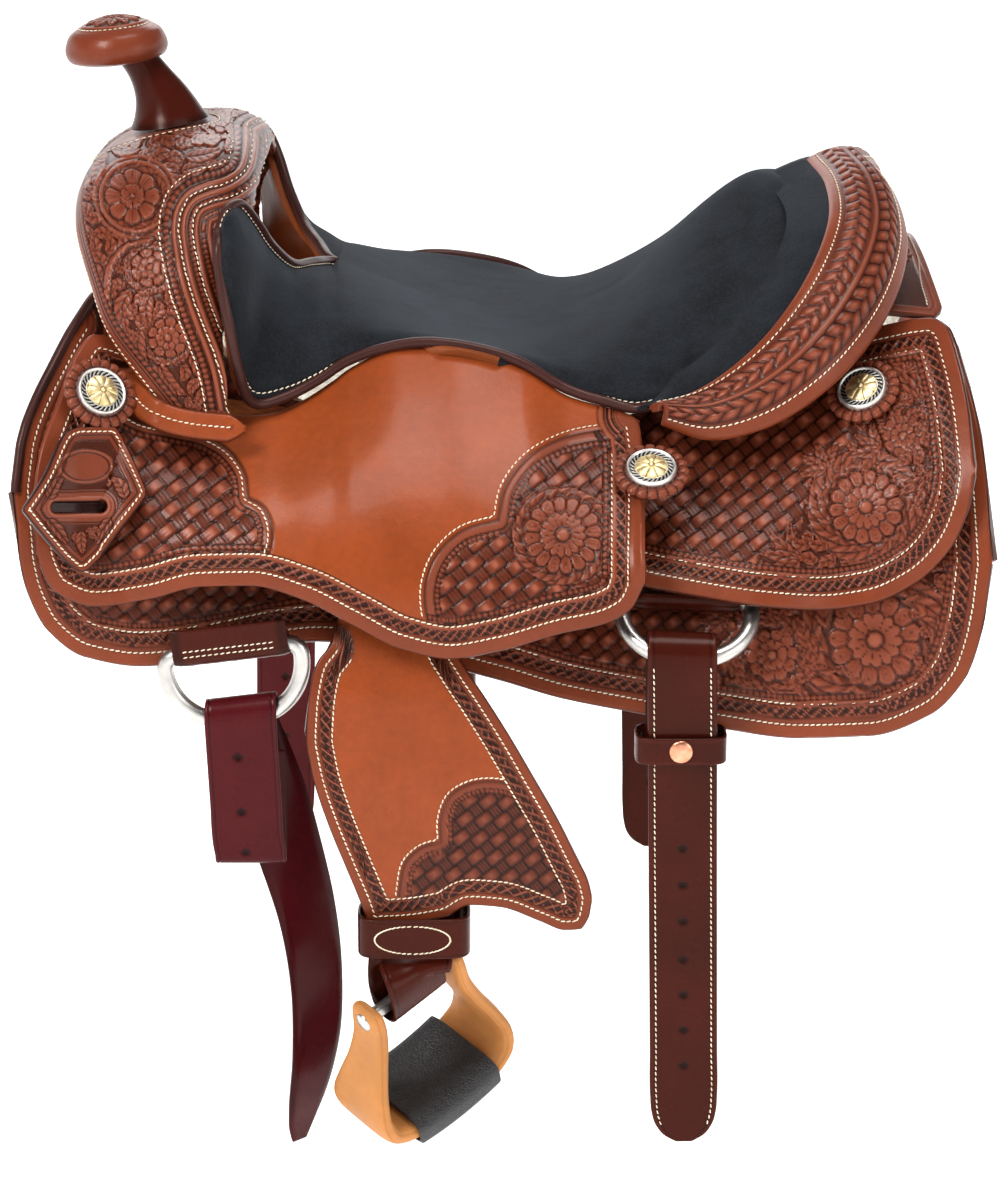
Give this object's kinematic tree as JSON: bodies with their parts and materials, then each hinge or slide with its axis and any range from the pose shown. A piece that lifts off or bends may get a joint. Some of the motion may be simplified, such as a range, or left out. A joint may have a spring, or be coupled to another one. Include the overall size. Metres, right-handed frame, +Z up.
{
  "type": "western reining saddle",
  "caption": "Western riding saddle with a horn, swell, padded seat and cantle, tooled leather skirts, swinging fenders with stirrups, rigging rings and hanging girth straps",
  "frame": {"origin": "on the centre line, at the crown of the arch that lies on the horse's back, level with the spine under the middle of the seat", "axes": "X runs from the horn (-X) to the cantle (+X), Y runs across with the near (left) side at -Y, Z is up"},
  "size_m": [0.6507, 0.6536, 0.7482],
  "materials": {
    "tooled_leather": "carved and basket stamped, dark antiqued red brown, soft gloss",
    "smooth_leather": "smooth tan brown, soft gloss",
    "black_suede": "black suede",
    "dark_leather": "dark red brown, smooth",
    "latigo_leather": "burgundy, oiled",
    "tree_wood": "bare wood, hidden",
    "wool_fleece": "cream wool pile",
    "stainless_steel": "satin",
    "silver_and_brass": "polished silver rim with a brass coloured flower",
    "pale_leather": "pale natural leather cover",
    "tread_rubber": "black pebbled rubber"
  },
  "bodies": {
    "saddle": {"skirt_left": "tooled_leather", "skirt_right": "tooled_leather", "rear_jockey_left": "tooled_leather", "rear_jockey_right": "tooled_leather", "cantle_binding": "tooled_leather", "cantle_back": "tooled_leather", "rear_housing": "tooled_leather", "swell_cover": "tooled_leather", "horn_cap": "tooled_leather", "rosette_front_left": "tooled_leather", "rosette_front_right": "tooled_leather", "rosette_middle_left": "tooled_leather", "rosette_middle_right": "tooled_leather", "rosette_rear_left": "tooled_leather", "rosette_rear_right": "tooled_leather", "side_jockey_left": "smooth_leather", "side_jockey_right": "smooth_leather", "seat_pad": "black_suede", "horn_wrap": "dark_leather", "latigo_keeper_left": "dark_leather", "latigo_keeper_right": "dark_leather", "front_dee_keeper_left": "dark_leather", "front_dee_keeper_right": "dark_leather", "rear_dee_keeper_left": "dark_leather", "rear_dee_keeper_right": "dark_leather", "tree_bar_left": "tree_wood", "tree_bar_right": "tree_wood", "tree_fork": "tree_wood", "tree_cantle": "tree_wood", "skirt_fleece_left": "wool_fleece", "skirt_fleece_right": "wool_fleece", "horn_core": "stainless_steel", "concho_front_left": "silver_and_brass", "concho_front_right": "silver_and_brass", "concho_middle_left": "silver_and_brass", "concho_middle_right": "silver_and_brass", "concho_rear_left": "silver_and_brass", "concho_rear_right": "silver_and_brass"},
    "fender_swing_left": {"fender_left": "smooth_leather", "stirrup_leather_left": "dark_leather", "hobble_strap_left": "dark_leather"},
    "stirrup_swing_left": {"stirrup_left": "pale_leather", "stirrup_tread_left": "tread_rubber", "stirrup_bolt_left": "stainless_steel"},
    "front_ring_left": {"front_dee_left": "stainless_steel"},
    "rear_ring_left": {"rear_dee_left": "stainless_steel"},
    "rear_strap_left": {"rear_billet_left": "dark_leather", "billet_keeper_left": "dark_leather"},
    "fender_swing_right": {"fender_right": "smooth_leather", "stirrup_leather_right": "dark_leather", "hobble_strap_right": "dark_leather"},
    "stirrup_swing_right": {"stirrup_right": "pale_leather", "stirrup_tread_right": "tread_rubber", "stirrup_bolt_right": "stainless_steel"},
    "front_ring_right": {"front_dee_right": "stainless_steel"},
    "rear_ring_right": {"rear_dee_right": "stainless_steel"},
    "rear_strap_right": {"rear_billet_right": "dark_leather", "billet_keeper_right": "dark_leather"},
    "latigo_strap": {"latigo_left": "latigo_leather"},
    "off_strap": {"off_billet_right": "latigo_leather"}
  },
  "joints": [
    {"name": "fender_left_swing", "type": "hinge", "parent": "saddle", "child": "fender_swing_left", "pos_m": [-0.078, -0.19, 0.002], "axis": [0, -1, 0], "range_deg": [0, 11]},
    {"name": "stirrup_left_swing", "type": "hinge", "parent": "fender_swing_left", "child": "stirrup_swing_left", "pos_m": [-0.06151, -0.292, -0.3466], "axis": [0.7306, 0.5708, 0.3746], "range_deg": [-20, 8]},
    {"name": "front_dee_left_hinge", "type": "hinge", "parent": "saddle", "child": "front_ring_left", "pos_m": [-0.17838, -0.2655, -0.11427], "axis": [-0.9926, 0, -0.1215], "range_deg": [0, 35]},
    {"name": "rear_dee_left_hinge", "type": "hinge", "parent": "saddle", "child": "rear_ring_left", "pos_m": [0.12481, -0.23701, -0.08874], "axis": [-0.9992, 0, 0.0399], "range_deg": [0, 25]},
    {"name": "rear_billet_left_hinge", "type": "hinge", "parent": "rear_ring_left", "child": "rear_strap_left", "pos_m": [0.1236, -0.27735, -0.11909], "axis": [-1, 0, 0], "range_deg": [0, 20]},
    {"name": "fender_right_swing", "type": "hinge", "parent": "saddle", "child": "fender_swing_right", "pos_m": [-0.078, 0.19, 0.002], "axis": [0, -1, 0], "range_deg": [0, 11]},
    {"name": "stirrup_right_swing", "type": "hinge", "parent": "fender_swing_right", "child": "stirrup_swing_right", "pos_m": [-0.06151, 0.292, -0.3466], "axis": [-0.7306, 0.5708, -0.3746], "range_deg": [-20, 8]},
    {"name": "front_dee_right_hinge", "type": "hinge", "parent": "saddle", "child": "front_ring_right", "pos_m": [-0.17838, 0.2655, -0.11427], "axis": [0.9926, 0, 0.1215], "range_deg": [0, 35]},
    {"name": "rear_dee_right_hinge", "type": "hinge", "parent": "saddle", "child": "rear_ring_right", "pos_m": [0.12481, 0.23701, -0.08874], "axis": [0.9992, 0, -0.0399], "range_deg": [0, 25]},
    {"name": "rear_billet_right_hinge", "type": "hinge", "parent": "rear_ring_right", "child": "rear_strap_right", "pos_m": [0.1236, 0.27735, -0.11909], "axis": [1, 0, 0], "range_deg": [0, 20]},
    {"name": "latigo_left_hinge", "type": "hinge", "parent": "front_ring_left", "child": "latigo_strap", "pos_m": [-0.17212, -0.2655, -0.16539], "axis": [-1, 0, 0], "range_deg": [0, 8]},
    {"name": "off_billet_right_hinge", "type": "hinge", "parent": "front_ring_right", "child": "off_strap", "pos_m": [-0.17212, 0.2655, -0.16539], "axis": [1, 0, 0], "range_deg": [0, 10]}
  ]
}
